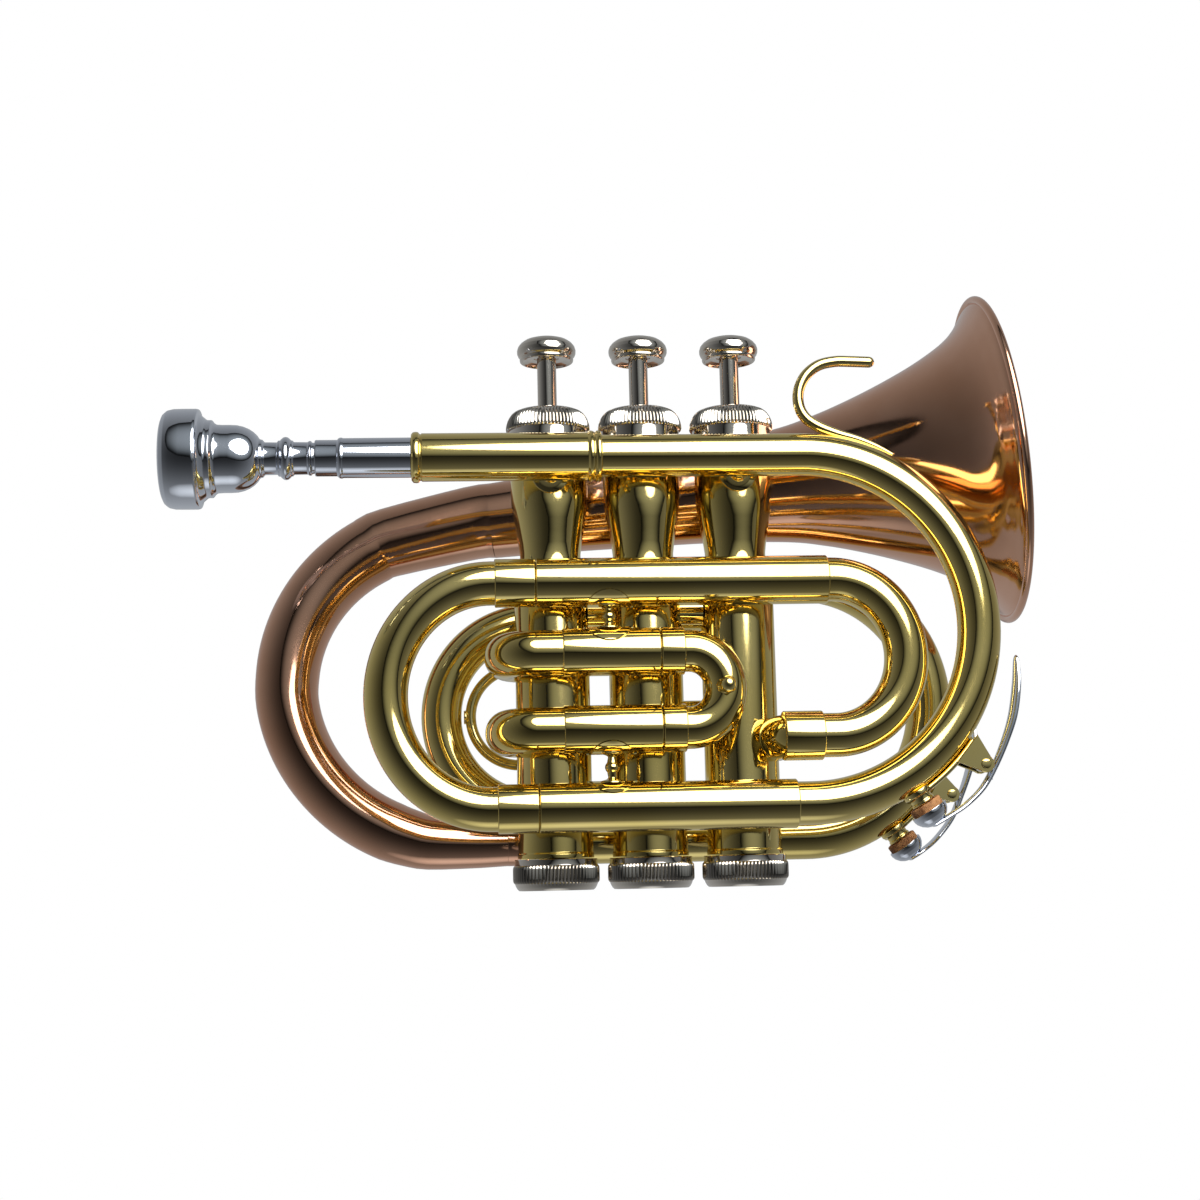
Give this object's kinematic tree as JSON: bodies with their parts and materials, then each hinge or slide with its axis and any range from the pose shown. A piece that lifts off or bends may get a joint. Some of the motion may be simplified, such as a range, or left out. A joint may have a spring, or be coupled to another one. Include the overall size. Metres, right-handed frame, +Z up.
{
  "type": "cornet",
  "caption": "Pocket cornet with piston valves, wrapped brass tubing, copper bell, pulling tuning slides, a finger hook and water keys.",
  "frame": {"origin": "on the middle valve's axis, at the bottom face of its bottom cap", "axes": "+Z up along the valves towards the finger buttons, +X towards the bell, +Y from the leadpipe side to the bell side"},
  "size_m": [0.2386, 0.0988, 0.1691],
  "materials": {
    "back_bow_tail": "polished, clear lacquered yellow brass",
    "bell": "polished, clear lacquered copper",
    "bell_bow": "polished, clear lacquered copper",
    "bell_ferrule": "polished, clear lacquered copper",
    "bell_rim_wire": "polished, clear lacquered copper",
    "bottom_cap_1": "polished nickel plate",
    "bottom_cap_2": "polished nickel plate",
    "bottom_cap_3": "polished nickel plate",
    "brace_lower": "polished, clear lacquered yellow brass",
    "brace_upper": "polished, clear lacquered yellow brass",
    "casing_1": "polished, clear lacquered yellow brass",
    "casing_2": "polished, clear lacquered yellow brass",
    "casing_3": "polished, clear lacquered yellow brass",
    "finger_hook": "polished, clear lacquered yellow brass",
    "finger_ring": "polished, clear lacquered yellow brass",
    "inner_bow": "polished, clear lacquered yellow brass",
    "lead_brace_1": "polished, clear lacquered yellow brass",
    "lead_brace_3": "polished, clear lacquered yellow brass",
    "leadpipe_bow": "polished, clear lacquered yellow brass",
    "leadpipe_sleeve": "polished, clear lacquered yellow brass",
    "main_sleeve_lower": "polished, clear lacquered yellow brass",
    "main_sleeve_upper": "polished, clear lacquered yellow brass",
    "mouthpiece": "polished silver plate",
    "piston_1": "polished nickel plate",
    "piston_2": "polished nickel plate",
    "piston_3": "polished nickel plate",
    "receiver": "polished silver plate",
    "slide1_bow": "polished, clear lacquered yellow brass",
    "slide1_knob": "polished, clear lacquered yellow brass",
    "slide1_leg_lower": "polished, clear lacquered yellow brass",
    "slide1_leg_upper": "polished, clear lacquered yellow brass",
    "slide1_sleeve_lower": "polished, clear lacquered yellow brass",
    "slide1_sleeve_upper": "polished, clear lacquered yellow brass",
    "slide2_bow": "polished, clear lacquered yellow brass",
    "slide2_sleeve_lower": "polished, clear lacquered yellow brass",
    "slide2_sleeve_upper": "polished, clear lacquered yellow brass",
    "slide3_bow": "polished, clear lacquered yellow brass",
    "slide3_leg_lower": "polished, clear lacquered yellow brass",
    "slide3_leg_upper": "polished, clear lacquered yellow brass",
    "slide3_sleeve_lower": "polished, clear lacquered yellow brass",
    "slide3_sleeve_upper": "polished, clear lacquered yellow brass",
    "stem_1": "polished nickel plate",
    "stem_2": "polished nickel plate",
    "stem_3": "polished nickel plate",
    "top_cap_1": "polished nickel plate",
    "top_cap_2": "polished nickel plate",
    "top_cap_3": "polished nickel plate",
    "tuning_bow": "polished, clear lacquered yellow brass",
    "tuning_leg_lower": "polished, clear lacquered yellow brass",
    "tuning_leg_upper": "polished, clear lacquered yellow brass",
    "valve3_elbow": "polished, clear lacquered yellow brass",
    "valve_spring_1": "drawn spring wire",
    "valve_spring_2": "drawn spring wire",
    "valve_spring_3": "drawn spring wire",
    "water_key_cork_1": "natural cork",
    "water_key_cork_2": "natural cork",
    "water_key_lever_1": "polished silver plate",
    "water_key_lever_2": "polished silver plate",
    "water_key_saddle_1": "polished, clear lacquered yellow brass",
    "water_key_saddle_2": "polished, clear lacquered yellow brass"
  },
  "bodies": {
    "horn": {"back_bow_tail": "back_bow_tail", "bell": "bell", "bell_bow": "bell_bow", "bell_ferrule": "bell_ferrule", "bell_rim_wire": "bell_rim_wire", "bottom_cap_1": "bottom_cap_1", "bottom_cap_2": "bottom_cap_2", "bottom_cap_3": "bottom_cap_3", "brace_lower": "brace_lower", "brace_upper": "brace_upper", "casing_1": "casing_1", "casing_2": "casing_2", "casing_3": "casing_3", "finger_hook": "finger_hook", "inner_bow": "inner_bow", "lead_brace_1": "lead_brace_1", "lead_brace_3": "lead_brace_3", "leadpipe_bow": "leadpipe_bow", "leadpipe_sleeve": "leadpipe_sleeve", "main_sleeve_lower": "main_sleeve_lower", "main_sleeve_upper": "main_sleeve_upper", "receiver": "receiver", "slide1_sleeve_lower": "slide1_sleeve_lower", "slide1_sleeve_upper": "slide1_sleeve_upper", "slide2_sleeve_lower": "slide2_sleeve_lower", "slide2_sleeve_upper": "slide2_sleeve_upper", "slide3_sleeve_lower": "slide3_sleeve_lower", "slide3_sleeve_upper": "slide3_sleeve_upper", "top_cap_1": "top_cap_1", "top_cap_2": "top_cap_2", "top_cap_3": "top_cap_3", "valve3_elbow": "valve3_elbow", "valve_spring_1": "valve_spring_1", "valve_spring_2": "valve_spring_2", "valve_spring_3": "valve_spring_3", "water_key_saddle_1": "water_key_saddle_1", "water_key_saddle_2": "water_key_saddle_2"},
    "mouthpiece": {"mouthpiece": "mouthpiece"},
    "piston_1_body": {"piston_1": "piston_1", "stem_1": "stem_1"},
    "piston_2_body": {"piston_2": "piston_2", "stem_2": "stem_2"},
    "piston_3_body": {"piston_3": "piston_3", "stem_3": "stem_3"},
    "tuning_slide": {"tuning_bow": "tuning_bow", "tuning_leg_upper": "tuning_leg_upper", "tuning_leg_lower": "tuning_leg_lower"},
    "first_slide": {"slide1_bow": "slide1_bow", "slide1_leg_upper": "slide1_leg_upper", "slide1_leg_lower": "slide1_leg_lower", "slide1_knob": "slide1_knob"},
    "second_slide": {"slide2_bow": "slide2_bow"},
    "third_slide": {"slide3_bow": "slide3_bow", "slide3_leg_upper": "slide3_leg_upper", "slide3_leg_lower": "slide3_leg_lower", "finger_ring": "finger_ring"},
    "water_key_1": {"water_key_lever_1": "water_key_lever_1", "water_key_cork_1": "water_key_cork_1"},
    "water_key_2": {"water_key_lever_2": "water_key_lever_2", "water_key_cork_2": "water_key_cork_2"}
  },
  "joints": [
    {"name": "valve_1_press", "type": "slide", "parent": "horn", "child": "piston_1_body", "axis": [0, 0, -1], "range_m": [0, 0.0135], "stiffness_N_per_m": 110, "springref_m": -0.02, "deforming": ["valve_spring_1"]},
    {"name": "valve_2_press", "type": "slide", "parent": "horn", "child": "piston_2_body", "axis": [0, 0, -1], "range_m": [0, 0.0135], "stiffness_N_per_m": 110, "springref_m": -0.02, "deforming": ["valve_spring_2"]},
    {"name": "valve_3_press", "type": "slide", "parent": "horn", "child": "piston_3_body", "axis": [0, 0, -1], "range_m": [0, 0.0135], "stiffness_N_per_m": 110, "springref_m": -0.02, "deforming": ["valve_spring_3"]},
    {"name": "main_tuning_pull", "type": "slide", "parent": "horn", "child": "tuning_slide", "axis": [-1, 0, 0], "range_m": [0, 0.03]},
    {"name": "first_slide_pull", "type": "slide", "parent": "horn", "child": "first_slide", "axis": [1, 0, 0], "range_m": [0, 0.003]},
    {"name": "second_slide_pull", "type": "slide", "parent": "horn", "child": "second_slide", "axis": [0, 1, 0], "range_m": [0, 0.008]},
    {"name": "third_slide_pull", "type": "slide", "parent": "horn", "child": "third_slide", "axis": [-1, 0, 0], "range_m": [0, 0.01]},
    {"name": "mouthpiece_pull", "type": "slide", "parent": "horn", "child": "mouthpiece", "axis": [-1, 0, 0], "range_m": [0, 0.018]},
    {"name": "water_key_1_hinge", "type": "hinge", "parent": "horn", "child": "water_key_1", "pos_m": [0.08684, -0.018, 0.031], "axis": [0, -1, 0], "range_deg": [0, 6], "stiffness_Nm_per_rad": 0.06, "springref_deg": -17.19},
    {"name": "water_key_2_hinge", "type": "hinge", "parent": "horn", "child": "water_key_2", "pos_m": [0.08903, 0.0254, 0.02439], "axis": [0, -1, 0], "range_deg": [0, 7], "stiffness_Nm_per_rad": 0.06, "springref_deg": -17.19}
  ]
}
